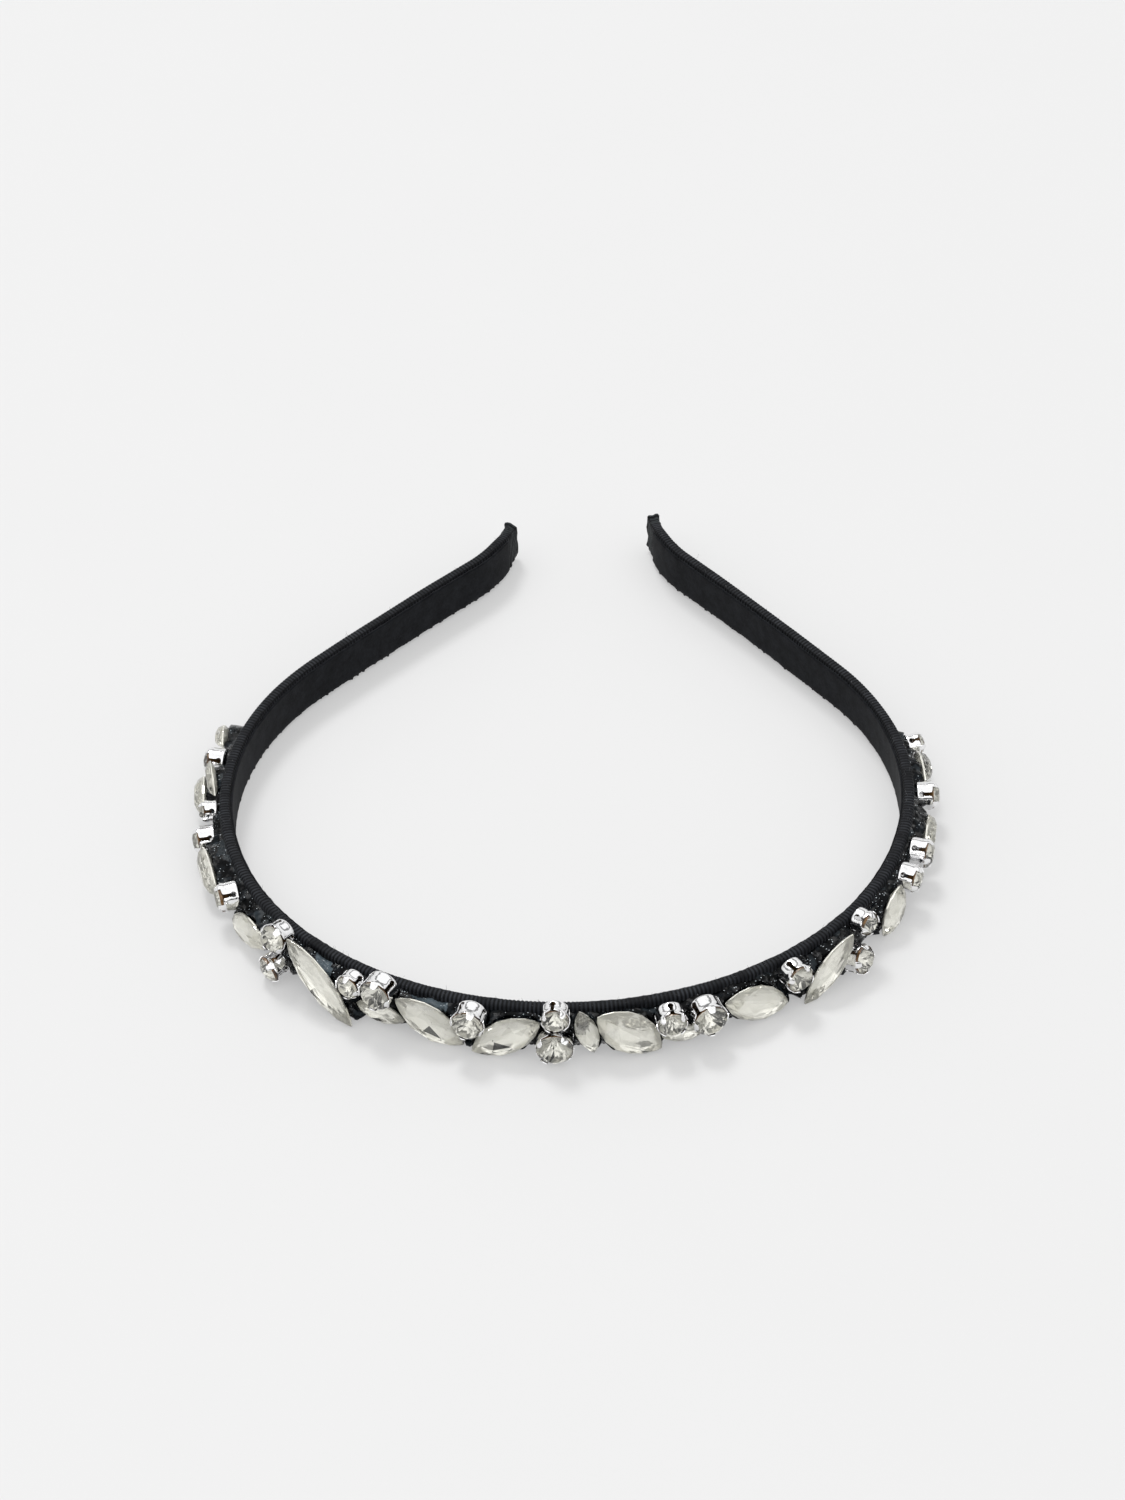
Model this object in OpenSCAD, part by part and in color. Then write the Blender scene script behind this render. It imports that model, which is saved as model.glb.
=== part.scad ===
// Rhinestone headband, lying on its lower rim. +Z is up, the curved front
// with the stones is at -Y and the two tips are at +Y.

/* [Band] */
// Width of the band, from rim to rim
band_w = 9.5; // [8:0.1:11]
// Thickness of the band with its ribbon cover
band_t = 2.1; // [1.6:0.1:2.6]
// Corner radius of the ribbon cover at both rims
band_corner = 0.7; // [0.4:0.05:0.75]
// Radius of the front curve, along the middle of the band
front_r = 68.4; // [62:0.2:74]
// Turn of the front curve, from the middle to one side
front_turn = 40; // [36:1:44]
// Radius of the tighter curve at each side
side_r = 57.4; // [54:0.2:62]
// Turn of the curve at each side
side_turn = 90; // [84:1:94]
// Radius of each almost straight arm
arm_r = 900; // [700:20:1200]
// Turn of the left arm, which sets its length too
left_turn = 2.7; // [2.4:0.1:3.2]
// Turn of the right arm, which sets its length too
right_turn = 3; // [2.4:0.1:3.2]

/* [Tips] */
// Radius of the outward curl at each tip
tip_r = 28; // [20:1:32]
// Turn of the outward curl at each tip
tip_turn = 33; // [24:1:38]
// Length over which a tip narrows
tip_len = 9; // [6:0.5:12]
// Share of the width that is left at the end of a tip
tip_share = 0.68; // [0.6:0.02:0.9]

/* [Lining] */
// Thickness of the lining on the inner face
lining_t = 0.35; // [0.25:0.05:0.5]
// Bare margin between the lining and each rim
lining_margin = 0.75; // [0.7:0.05:1.2]
// Length of folded ribbon left bare at each tip
lining_stop = 5; // [4:0.5:8]

/* [Glue strip] */
// Thickness of the glue strip where it is plain
glue_t = 0.4; // [0.3:0.05:0.8]
// Lower edge of the glue strip above the lower rim
glue_low = 0.7; // [0.5:0.05:1.2]
// Upper edge of the glue strip above the lower rim
glue_high = 8.3; // [7.6:0.1:8.8]
// How far the strip's upper edge waves up and down
glue_wave = 0.35; // [0.1:0.05:0.5]
// End of the strip on the left, along the band from the middle
glue_left = 117; // [112:0.5:120]
// End of the strip on the right, along the band from the middle
glue_right = 120; // [112:0.5:122]

/* [Stones and cups] */
// Height of a round stone's crown, as a share of its diameter
crown_share = 0.22; // [0.16:0.01:0.26]
// Height of a claw cup, as a share of its stone's diameter
cup_share = 0.56; // [0.5:0.02:0.62]
// Wall thickness of a claw cup
cup_wall = 0.3; // [0.25:0.05:0.4]
// Diameter of the thread holes through a claw cup
hole_d = 1.1; // [0.8:0.1:1.3]
// Greatest thickness of a navette stone
navette_h = 2.9; // [2.4:0.1:3.2]
// Thickness of a narrow navette stone, as a share of its width
navette_share = 0.6; // [0.5:0.02:0.7]
// Gap that is kept between neighbouring pieces
gap = 0.05; // [0.04:0.01:0.08]

/* [Hidden] */
// Distance by which the plan is moved, so that the middle of the whole
// object's footprint is on the origin
plan_shift = [0.61, -69.72];

// Arcs of the left and of the right half of the band, from the middle to a tip
LEFT = 0;
RIGHT = 1;
RADIUS = 0;
TURN = 1;
ARCS = [
    for (arm_turn = [left_turn, right_turn]) [
        [front_r, front_turn],
        [side_r, side_turn],
        [arm_r, arm_turn],
        [tip_r, -tip_turn]
    ]
];

// Thicker beds in the glue strip, under stones that stand further out:
// place along the band, extra thickness of the strip's lower part and of its
// upper part, half of the bed's length
BED_AT = 0;
BED_UP = [1, 2];
BED_HALF = 3;
BEDS = [
    // place  lower  upper  half
    [-112.6,  2.2,   2.2,   3.8],
    [ -98.6,  2.2,   0.5,   5.0],
    [ -78.2,  2.2,   2.2,   5.5],
    [ -62.2,  0.9,   0.9,   4.0],
    [ -52.2,  1.4,   0.5,   3.4],
    [ -41.6,  1.7,   1.7,   5.0],
    [ -20.6,  0.6,   0.6,   6.0],
    [  -6.9,  0.6,   0.6,   5.0],
    [  12.0,  0.9,   0.9,   8.0],
    [  24.0,  0.6,   0.6,   4.5],
    [  37.3,  0.5,   0.5,   5.0],
    [  52.0,  1.5,   1.5,   5.0],
    [  58.2,  1.2,   0,     3.0],
    [  71.2,  0.9,   0.9,   4.0],
    [  92.6,  1.3,   1.3,   4.2],
    [ 109.0,  0.9,   0.9,   4.0],
    [ 115.4,  0.8,   0.8,   3.0]
];
// Height between the strip's lower part and its upper part, and half of the
// height over which one turns into the other
glue_split = 5.3;
glue_blend = 0.4;

// Round stones in claw cups, from the left end to the right end. place is
// along the band from the middle, up is above the lower rim, lean turns the
// face up and swing turns it to the right, in degrees. in is how far a
// tilted piece is pushed into its seat. cup turn is the turn of the cup about
// its own axis: at 45 a claw is at its upper side, and at 0 a slot.
PLACE = 0;
UP = 1;
LEAN = 2;
SWING = 3;
PUSH_IN = 4;
ROUND_D = 5;
CUP_TURN = 6;
ROUNDS = [
    // place   up   lean swing  in   diameter  cup turn
    [-106.6,  6.2,  -5,   0,   0,    5.0,     45],
    [ -91.1,  7.6,   0,   0,   0,    3.8,     40],
    [ -86.6,  4.9,  -8,  -4,   0,    5.2,     45],
    [ -68.8,  6.4,  -5, -12,   0.1,  5.2,     45],
    [ -52.8,  9.0,  10,   8,   0.8,  5.2,     15],
    [ -52.0,  3.5, -10,  -8,   0.3,  5.0,     10],
    [ -35.6,  7.8,   0,   0,   0,    4.4,     45],
    [ -29.9,  8.9,   0,   0,   0,    5.9,     40],
    [ -13.2,  7.5,   0,   0,   0,    5.9,     30],
    [   1.6,  9.6,   0,   0,   0,    4.8,     10],
    [   1.4,  3.55,  0,   0,   0,    6.5,     10],
    [  21.4,  7.2,  -4,  -4,   0.2,  5.2,      0],
    [  27.7,  6.2,   0,   0,   0,    6.2,     45],
    [  45.2,  7.2,   0,   0,   0,    5.2,     20],
    [  62.2,  8.6,   0,   0,   0,    4.3,     40],
    [  57.8,  3.2,  12,  10,   0.2,  5.2,     30],
    [  77.8,  6.9,  -6,   4,   0,    5.0,     45],
    [  85.1,  6.4,  -3,   2,   0,    5.2,     35],
    [ 100.8,  6.2,   0,   0,   0,    5.0,     45],
    [ 115.6,  5.6,   0,   0,   0,    4.0,     25]
];

// Navette stones, in the same order and with the same first columns. turn
// raises the right end, in degrees.
NAVETTE_TURN = 5;
NAVETTE_L = 6;
NAVETTE_W = 7;
NAVETTES = [
    // place   up   lean swing  in  turn length width
    [-113.4,  6.4,   0,  18,   0.4,  12,   6.8,  4.2],
    [ -99.6,  8.4,   0,  14,   0.4,  -6,   9.4,  3.2],
    [ -99.6,  4.0,   0,   8,   0.3,   0,  10.8,  5.0],
    [ -78.2,  4.7,   0,   0,   0.1, -10,  12.0,  5.6],
    [ -61.8,  3.5,   0,   0,   0,     8,  12.8,  6.2],
    [ -41.7,  5.4,  10,  -3,   0,   -31,  20.0,  6.2],
    [ -30.4,  2.7,   4,   0,   0,    -3,  10.2,  4.2],
    [ -20.6,  4.6,   0,   0,   0,   -29,  14.8,  7.8],
    [  -7.1,  4.1,   7,   5,   0,    28,  14.0,  7.2],
    [   6.9,  5.5,   0,   0,   0.2, -76,  10.4,  4.2],
    [  14.1,  5.0,   8,   0,   0.1, -36,  14.0,  8.4],
    [  23.6,  1.9,  20,   0,   0,    -4,   8.4,  3.2],
    [  37.3,  4.2,   6,   0,   0,   -21,  13.6,  7.4],
    [  52.0,  4.8,   3,   0,   0,    36,  15.4,  5.6],
    [  71.2,  4.2,   0,   0,   0,    46,  10.0,  6.6],
    [  92.4,  4.6,   0,   0,   0,     5,   9.4,  4.4],
    [ 109.0,  6.0,   0,   0,   0,    -6,   9.4,  4.8]
];

function two(i) = str(i < 9 ? "0" : "", i + 1);
function numbered(name, i) = str(name, "_", two(i));
round_rows = [0:len(ROUNDS) - 1];
navette_rows = [0:len(NAVETTES) - 1];

// Sum of a list of numbers
function total(v, i = 0) = i == len(v) ? 0 : v[i] + total(v, i + 1);

function arc_len(arc) = arc[RADIUS] * abs(arc[TURN]) * PI / 180;
half_len = [for (arcs = ARCS) total([for (arc = arcs) arc_len(arc)])];

// Point and heading of one half of the band, at the distance a from the
// middle: [x, y, heading]
function half_at(arcs, a, i = 0, p = [0, 0], h = 0) =
    let (
        arc = arcs[i],
        len_here = arc_len(arc),
        side = sign(arc[TURN]),
        run = min(a, len_here),
        h_end = h + side * run / arc[RADIUS] * 180 / PI,
        q = p + arc[RADIUS] * side * [sin(h_end) - sin(h), cos(h) - cos(h_end)]
    )
    a <= len_here || i == len(arcs) - 1
        ? [q.x, q.y, h_end]
        : half_at(arcs, a - len_here, i + 1, q, h_end);

// Point and heading at the place s along the band, which is below zero in
// the left half
function band_at(s) =
    let (half = half_at(ARCS[s < 0 ? LEFT : RIGHT], abs(s)))
    s < 0 ? [-half.x, half.y, -half[2]] : half;

// Distance along the band from the place s to the tip on its side
function to_tip(s) = half_len[s < 0 ? LEFT : RIGHT] - abs(s);

// Point at the place s, out beyond the band's middle, and up from its rim
function band_point(s, out, up) =
    let (here = band_at(s))
    [
        here.x + out * sin(here[2]) + plan_shift.x,
        here.y - out * cos(here[2]) + plan_shift.y,
        up
    ];

function smooth(t) = let (u = min(max(t, 0), 1)) u * u * (3 - 2 * u);

// Share of the band's width at the place s, which falls towards the tips
function width_share(s) =
    1 - (1 - tip_share) * smooth((tip_len - to_tip(s)) / tip_len);

// Places along the band for the rings of a sweep, closer together at the ends
function places(from, to, step, end_run, end_step) = concat(
    [for (s = [from:end_step:from + end_run - end_step / 2]) s],
    [for (i = [0:ceil((to - from - 2 * end_run) / step) - 1])
        from + end_run + i * (to - from - 2 * end_run) / ceil((to - from - 2 * end_run) / step)],
    [for (s = [to - end_run:end_step:to + end_step / 2]) s]
);

// Closed solid through rings that all have the same number of points
module skin(rings) {
    n = len(rings);
    m = len(rings[0]);
    polyhedron(
        points = [for (ring = rings) each ring],
        faces = concat(
            [[for (j = [m - 1:-1:0]) j]],
            [for (i = [0:n - 2]) for (j = [0:m - 1])
                [i * m + j, i * m + (j + 1) % m, (i + 1) * m + (j + 1) % m, (i + 1) * m + j]],
            [[for (j = [0:m - 1]) (n - 1) * m + j]]
        )
    );
}

// Outline of a rounded rectangle, as [out, up] about its centre
function rounded_section(w, h, r, steps = 2) = [
    for (corner = [[1, -1, 270], [1, 1, 0], [-1, 1, 90], [-1, -1, 180]])
        for (k = [0:steps])
            let (a = corner[2] + 90 * k / steps)
            [corner.x * (w / 2 - r) + r * cos(a), corner.y * (h / 2 - r) + r * sin(a)]
];

// The end rings of the band are drawn in, so that its tips are rounded off
tip_round = 1;
function tip_close(s) =
    let (left = max(to_tip(s), 0))
    left >= tip_round ? 1 : 0.72 + 0.28 * sqrt(1 - pow(1 - left / tip_round, 2));

module band() {
    color("#17181c")
    skin([
        for (s = places(-half_len[LEFT], half_len[RIGHT], 4, 11, 1.1))
            let (close = tip_close(s), tall = band_w * width_share(s) * close)
            [for (p = rounded_section(band_t * close, tall, band_corner * close))
                band_point(s, p.x, band_w / 2 + p.y)]
    ]);
}

module lining() {
    face = -band_t / 2 - gap;
    from = lining_stop - half_len[LEFT];
    to = half_len[RIGHT] - lining_stop;
    color("#232428")
    skin([
        for (s = places(from, to, 4, 6.6, 1.1))
            let (tall = band_w * width_share(s) / 2 - lining_margin)
            [for (p = [[face, -tall], [face, tall], [face - lining_t, tall], [face - lining_t, -tall]])
                band_point(s, p.x, band_w / 2 + p.y)]
    ]);
}

glue_back = band_t / 2 + gap;

// Thickness of the glue strip at the place s. part is 0 for its lower part
// and 1 for its upper part.
function glue_at(s, part) = glue_t + total([
    for (bed = BEDS)
        let (t = abs(s - bed[BED_AT]) / bed[BED_HALF])
        t < 1 ? bed[BED_UP[part]] * pow(cos(90 * t), 2) : 0
]);

// Upper edge of the glue strip at the place s
function glue_edge(s) = glue_high + glue_wave * (sin(s * 360 / 23) + 0.6 * sin(s * 360 / 9.7 + 40)) / 1.6;

// Share of the strip's full section at the place s, for its round ends
glue_round = 3.5;
function glue_close(s) =
    let (left = min(s + glue_left, glue_right - s))
    left >= glue_round ? 1 : max(0.25, sqrt(1 - pow(1 - left / glue_round, 2)));

module glue_strip() {
    middle = (glue_low + glue_high) / 2;
    color("#0d1114")
    skin([
        for (s = places(-glue_left, glue_right, 2.4, 4.2, 0.7))
            let (
                close = glue_close(s),
                low = middle + (glue_low - middle) * close,
                high = middle + (glue_edge(s) - middle) * close,
                t = [for (part = [0, 1]) glue_at(s, part) * (0.4 + 0.6 * close)]
            )
            [for (p = [
                [0, low], [0.7 * t[0], low + 0.15], [t[0], low + 0.8 * close],
                [t[0], middle + (glue_split - glue_blend - middle) * close],
                [t[1], middle + (glue_split + glue_blend - middle) * close],
                [t[1], high - 0.9 * close], [0.75 * t[1], high - 0.2], [0, high]
            ]) band_point(s, glue_back + p.x, p.y)]
    ]);
}

// Distance from the band's middle to a seat on the glue strip, clear of the
// strip all over the half length and between the heights that the seat takes
function seat_out(s, half, low, high) =
    let (parts = concat(
        low < glue_split + glue_blend ? [0] : [],
        high > glue_split - glue_blend ? [1] : []
    ))
    glue_back + gap + max([for (part = parts, k = [-6:6]) glue_at(s + half * k / 6, part)]);

// How far a tilted base is raised, so that its lowest edge is on the seat
function tilt_rise(lean, swing, turn, half_l, half_w) =
    let (
        along = sin(swing) * cos(turn) - sin(lean) * sin(turn),
        across = sin(swing) * sin(turn) + sin(lean) * cos(turn)
    )
    sqrt(pow(half_l * along, 2) + pow(half_w * across, 2));

// Places a piece on the glue strip. Its own +Z points out of the face and
// its own +X along the band to the right, before the turn.
module on_strip(row, turn, half_l, half_w) {
    here = band_at(row[PLACE]);
    tall = half_l * abs(sin(turn)) + half_w * abs(cos(turn));
    out = seat_out(row[PLACE], half_l, row[UP] - tall, row[UP] + tall);
    rise = tilt_rise(row[LEAN], row[SWING], turn, half_l, half_w) - row[PUSH_IN];
    translate(band_point(row[PLACE], out, row[UP]))
        rotate([0, 0, here[2] + row[SWING]])
        rotate([90 - row[LEAN], 0, 0])
        rotate([0, 0, turn])
        translate([0, 0, rise])
        children();
}

// One ring of corners of a cut stone. A plump of 1 gives an oval, and above
// 1 its two ends are drawn out into the points of a navette.
function cut_ring(n, half_l, half_w, z, plump = 1, start = 0) = [
    for (k = [0:n - 1])
        let (a = 360 * (k + start) / n)
        [half_l * cos(a), half_w * sign(sin(a)) * pow(abs(sin(a)), plump), z]
];

// Solid with flat facets between all the given corners
module facets(corners) {
    hull() polyhedron(points = corners, faces = [[for (i = [0:len(corners) - 1]) i]]);
}

// Thickness of a round stone's girdle
girdle = 0.25;
// The row of corners partway up a crown, and the flat end of a pavilion:
// each as shares of the stone's radius and of its height
crown_mid = [0.84, 0.6];
table_share = 0.56;
pavilion_end = 0.25;
pavilion_share = 0.3;
pavilion_slope = (1 - pavilion_end) / 2 / pavilion_share;

function cup_h(d) = cup_share * d;

// Height of a girdle's lower side, with the pavilion a gap clear of the
// cup's inner rim
function girdle_at(d) = cup_h(d) + (cup_wall / 2 + gap) / pavilion_slope;

// Table of eight sides, two rows of crown facets, a girdle and a pavilion
// that goes down into the cup
module round_cut(d) {
    r = d / 2;
    crown = crown_share * d;
    low = girdle_at(d);
    mid_r = crown_mid[0] * r;
    facets(concat(
        cut_ring(8, table_share * r, table_share * r, low + girdle + crown),
        cut_ring(8, mid_r, mid_r, low + girdle + crown_mid[1] * crown, 1, 0.5),
        cut_ring(16, r, r, low + girdle),
        cut_ring(16, r, r, low),
        cut_ring(8, pavilion_end * r, pavilion_end * r, low - pavilion_share * d)
    ));
}

// Distance that a claw reaches in over the crown, its width as a share of
// the stone's diameter, and its thickness at the tip
claw_reach = 0.35;
claw_share = 0.22;
claw_tip = 0.18;
// Height of the claw's foot that is joined to the cup's wall
claw_foot = 0.8;

// Side view of one claw, that stands on the wall and leans in over the crown
module claw(d) {
    r = d / 2;
    foot = cup_h(d) - claw_foot;
    top = girdle_at(d) + girdle + gap;
    slope = crown_mid[1] * crown_share * d / ((1 - crown_mid[0]) * r);
    tip = top + (claw_reach + gap) * slope;
    rotate([90, 0, 0])
        linear_extrude(claw_share * d, center = true)
        polygon([
            [r + gap, foot], [r + gap + cup_wall, foot], [r + gap + cup_wall, top],
            [r - claw_reach, tip + claw_tip], [r - claw_reach, tip], [r + gap, top]
        ]);
}

// Chrome cup with a base, four slots, thread holes near its base and four
// claws that close over the stone's girdle
module claw_cup(d) {
    h = cup_h(d);
    outer = d / 2 + cup_wall / 2;
    slot_w = 0.14 * d;
    difference() {
        cylinder(r = outer, h = h, $fn = 48);
        translate([0, 0, cup_wall]) cylinder(r = outer - cup_wall, h = h, $fn = 48);
        for (a = [0, 90]) rotate([0, 0, a]) {
            translate([-d, -slot_w / 2, 0.45 * h]) cube([2 * d, slot_w, h]);
            translate([0, 0, cup_wall + hole_d / 2 + 0.1])
                rotate([0, 90, 0]) cylinder(d = hole_d, h = 2 * d, center = true, $fn = 24);
        }
    }
    for (a = [45, 135, 225, 315]) rotate([0, 0, a]) claw(d);
}

// Table, two rows of crown facets, a girdle and a back that draws in
module navette_cut(l, w) {
    a = l / 2;
    b = w / 2;
    h = min(navette_h, navette_share * w);
    back = 0.3 * h;
    edge = 0.12 * h;
    crown = h - back - edge;
    facets(concat(
        cut_ring(12, 0.52 * a, 0.5 * b, h, 1.6),
        cut_ring(12, 0.8 * a, 0.8 * b, back + edge + 0.62 * crown, 1.6, 0.5),
        cut_ring(16, a, b, back + edge, 1.7),
        cut_ring(16, a, b, back, 1.7),
        cut_ring(12, 0.62 * a, 0.6 * b, 0, 1.6)
    ));
}

module round_stone(i) {
    row = ROUNDS[i];
    d = row[ROUND_D];
    color([0.88, 0.88, 0.83]) on_strip(row, 0, d / 2 + cup_wall, d / 2 + cup_wall) round_cut(d);
}

module cup(i) {
    row = ROUNDS[i];
    d = row[ROUND_D];
    color("silver") on_strip(row, 0, d / 2 + cup_wall, d / 2 + cup_wall)
        rotate([0, 0, row[CUP_TURN]])
        claw_cup(d);
}

module navette(i) {
    row = NAVETTES[i];
    color([0.86, 0.87, 0.8])
        on_strip(row, row[NAVETTE_TURN], 0.62 * row[NAVETTE_L] / 2, 0.6 * row[NAVETTE_W] / 2)
        navette_cut(row[NAVETTE_L], row[NAVETTE_W]);
}

band();
lining();
glue_strip();
for (i = round_rows) {
    round_stone(i);
    cup(i);
}
for (i = navette_rows) {
    navette(i);
}
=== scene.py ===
import random
from math import atan2, copysign, cos, dist, pi, radians, sin, sqrt

import bmesh
import bpy
import numpy as np
from mathutils import Matrix, Vector


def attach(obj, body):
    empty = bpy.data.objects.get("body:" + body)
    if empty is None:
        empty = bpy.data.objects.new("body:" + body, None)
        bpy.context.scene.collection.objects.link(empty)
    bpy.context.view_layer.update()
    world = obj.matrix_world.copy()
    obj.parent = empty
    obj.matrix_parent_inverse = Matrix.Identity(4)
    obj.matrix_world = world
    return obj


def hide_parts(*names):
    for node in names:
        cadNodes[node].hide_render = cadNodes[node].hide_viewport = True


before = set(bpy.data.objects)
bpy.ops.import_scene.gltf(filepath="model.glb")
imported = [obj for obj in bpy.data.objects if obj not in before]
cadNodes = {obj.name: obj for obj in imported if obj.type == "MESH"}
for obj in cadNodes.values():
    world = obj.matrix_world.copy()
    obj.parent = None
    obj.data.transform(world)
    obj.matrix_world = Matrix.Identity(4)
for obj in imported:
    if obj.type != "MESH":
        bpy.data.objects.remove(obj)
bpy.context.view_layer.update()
mm = 0.001
print("stage: frame loaded,", len(cadNodes), "nodes")


def setSockets(node, values):
    # each value is a number, a colour or a wire
    for name, value in values.items():
        if isinstance(value, Wire):
            value.tree.links.new(value.socket, node.inputs[name])
        else:
            node.inputs[name].default_value = value


class Wire:
    # a socket that can be used in Python expressions; each operator adds a Math node
    def __init__(self, tree, socket=None):
        self.tree = tree
        self.socket = socket

    def add(self, nodeType, settings=None, inputs=None, output=0):
        # any node: its settings are set first, then the values or links of its sockets
        node = self.tree.nodes.new(nodeType)
        for name, value in (settings or {}).items():
            setattr(node, name, value)
        setSockets(node, inputs or {})
        return Wire(self.tree, node.outputs[output])

    def calc(self, operation, first, second=0.0):
        return self.add("ShaderNodeMath", {"operation": operation}, {0: first, 1: second})

    def __add__(self, other): return self.calc("ADD", self, other)
    def __radd__(self, other): return self.calc("ADD", other, self)
    def __sub__(self, other): return self.calc("SUBTRACT", self, other)
    def __rsub__(self, other): return self.calc("SUBTRACT", other, self)
    def __mul__(self, other): return self.calc("MULTIPLY", self, other)
    def __rmul__(self, other): return self.calc("MULTIPLY", other, self)
    def __gt__(self, other): return self.calc("GREATER_THAN", self, other)

    def axes(self):
        # the x, y and z of a vector
        apart = self.add("ShaderNodeSeparateXYZ", {}, {0: self}).socket.node
        return [Wire(self.tree, socket) for socket in apart.outputs]

    def span(self, low, high, newLow=0.0, newHigh=1.0):
        # the stretch from low to high is moved to newLow to newHigh and kept within them
        return self.add("ShaderNodeMapRange", {"clamp": True},
                        {"Value": self, "From Min": low, "From Max": high,
                         "To Min": newLow, "To Max": newHigh})

    def mix(self, first, second):
        # this mask turns the first colour into the second one
        return self.add("ShaderNodeMix", {"data_type": "RGBA"},
                        {"Factor": self, 6: first, 7: second}, 2)

    def stretched(self, scale):
        return self.add("ShaderNodeVectorMath", {"operation": "MULTIPLY"}, {0: self, 1: scale})

    def noise(self, scale, detail=2.0, roughness=0.5):
        return self.add("ShaderNodeTexNoise", {}, {"Vector": self, "Scale": scale,
                        "Detail": detail, "Roughness": roughness})

    def cells(self, scale, output="Distance"):
        return self.add("ShaderNodeTexVoronoi", {}, {"Vector": self, "Scale": scale}, output)

    def mark(self, name):
        # a value from 0 to 1 that the mesh carries
        return self.add("ShaderNodeAttribute", {"attribute_name": name}, output=2)

    def bump(self, strength, depth):
        return self.add("ShaderNodeBump", {}, {"Height": self, "Strength": strength,
                                               "Distance": depth * mm})


def rgb(red, green, blue):
    return (red, green, blue, 1.0)


def newMaterial(name, look, paint):
    # the look holds the fixed values of the shader's sockets, and paint gives what changes
    # over the surface, from the point in millimetres in the object's own space
    material = bpy.data.materials.new(name)
    material.use_nodes = True
    point = Wire(material.node_tree).add("ShaderNodeTexCoord", output="Object")
    shader = material.node_tree.nodes["Principled BSDF"]
    setSockets(shader, look["sockets"])
    setSockets(shader, paint(point.stretched((1000, 1000, 1000)), look))
    return material


# noise and cell sizes are counts per millimetre, depths and line widths are millimetres
# in the ribbon, the groove colour is painted shade for the rib valleys and the turned-in edge line
ribbonLook = {
    "groove": rgb(0.0018, 0.0020, 0.0028), "black": rgb(0.0042, 0.0048, 0.0064),
    "wornAndHighlight": rgb(0.0290, 0.0320, 0.0380), "fold": rgb(0.0330, 0.0390, 0.0400),
    "lint": rgb(0.13, 0.13, 0.135), "wearNoise": 0.3, "wearAndHighlightShow": 0.8, "foldNoise": 0.9,
    "threadPitch": 0.17, "edgeLine": 11.75, "edgeWander": 0.3, "edgeWidth": (0.12, 0.26),
    "edgeShow": 0.85, "lintCells": 0.8, "lintSize": (0.02, 0.07), "lintArea": 0.54,
    "lintShow": 0.55, "fuzz": 4.0, "weaveDepth": 0.05,
    "sockets": {"Roughness": 0.6, "Specular IOR Level": 0.11, "Sheen Weight": 0.022,
                "Sheen Roughness": 0.4}}


def paintRibbon(point, look):
    along, across, _ = point.add("ShaderNodeUVMap", {"uv_map": "ribRun"}).axes()
    # one rib is one unit of the run, and its groove is at the whole numbers
    groove = point.calc("COSINE", along * (2 * pi))
    warp = point.calc("SINE", across * (2 * pi / look["threadPitch"]))
    # rubbed wear in patches, and lighter on the rib crests as a painted highlight
    wearAndHighlight = point.noise(look["wearNoise"], 3.0).span(0.30, 0.66) * groove.span(0.5, -0.8)
    colour = (wearAndHighlight * look["wearAndHighlightShow"]).mix(look["black"], look["wornAndHighlight"])
    fold = point.mark("fold") * point.noise(look["foldNoise"], 3.0).span(0.3, 0.7)
    colour = fold.mix(colour, look["fold"])
    # painted shade darkens the grooves between the ribs
    colour = groove.span(0.0, 0.8).mix(colour, look["groove"])
    # a sunken line along the rim's inner corner, where the ribbon's edge is turned in, darkened
    # with painted shade
    edge = across + point.noise(0.5, 2.0) * look["edgeWander"] - look["edgeLine"]
    edge = point.calc("ABSOLUTE", edge).span(*look["edgeWidth"], 1.0, 0.0)
    colour = (edge * look["edgeShow"]).mix(colour, look["groove"])
    lint = point.cells(look["lintCells"]).span(*look["lintSize"], 1.0, 0.0) \
        * (point.noise(0.2) > look["lintArea"])
    weave = warp * 0.25 - groove * 0.5 + point.noise(look["fuzz"], 3.0) * 0.9 - edge * 2.0
    return {"Base Color": (lint * look["lintShow"]).mix(colour, look["lint"]),
            "Normal": weave.bump(0.8, look["weaveDepth"])}


liningLook = {
    "dark": rgb(0.0022, 0.0026, 0.0036), "pale": rgb(0.0120, 0.0133, 0.0162), "nap": 1.7,
    "napDepth": 0.08, "brushed": 0.4,
    "sockets": {"Roughness": 0.93, "Specular IOR Level": 0.06, "Sheen Weight": 0.05,
                "Sheen Roughness": 0.55}}


def paintLining(point, look):
    nap = point.noise(look["nap"], 4.0, 0.7)
    brushed = point.noise(look["brushed"], 2.0).span(0.35, 0.7)
    pale = brushed * 0.5 + nap.span(0.4, 0.7) * 0.5
    return {"Base Color": pale.mix(look["dark"], look["pale"]),
            "Normal": nap.bump(0.7, look["napDepth"])}


# patches are smooth, bluish painted reflections, each with a middle and a reach in millimetres
glueLook = {
    "black": rgb(0.0014, 0.0017, 0.0021), "haze": rgb(0.007, 0.0098, 0.0125),
    "paintedSheen": rgb(0.095, 0.122, 0.142), "paintedGlint": rgb(0.50, 0.55, 0.58),
    "sockets": {"Specular IOR Level": 0.07, "Coat Roughness": 0.03}, "glintCells": 1.7,
    "glintSize": 0.19, "glintShare": 0.5, "glintArea": 0.43,
    "patches": [((-20.5, -68.0, 7.9), (3.6, 9.0, 1.5)), ((-40.5, -57.5, 7.7), (1.9, 8.0, 1.4))],
    "patchEdge": (1.40, 1.28), "patchShow": 0.8, "paintedSheenElsewhere": 0.2, "coat": (0.03, 0.8),
    "lumpNoise": 0.5, "fineNoise": 2.6, "lumpDepth": 0.5}


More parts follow.
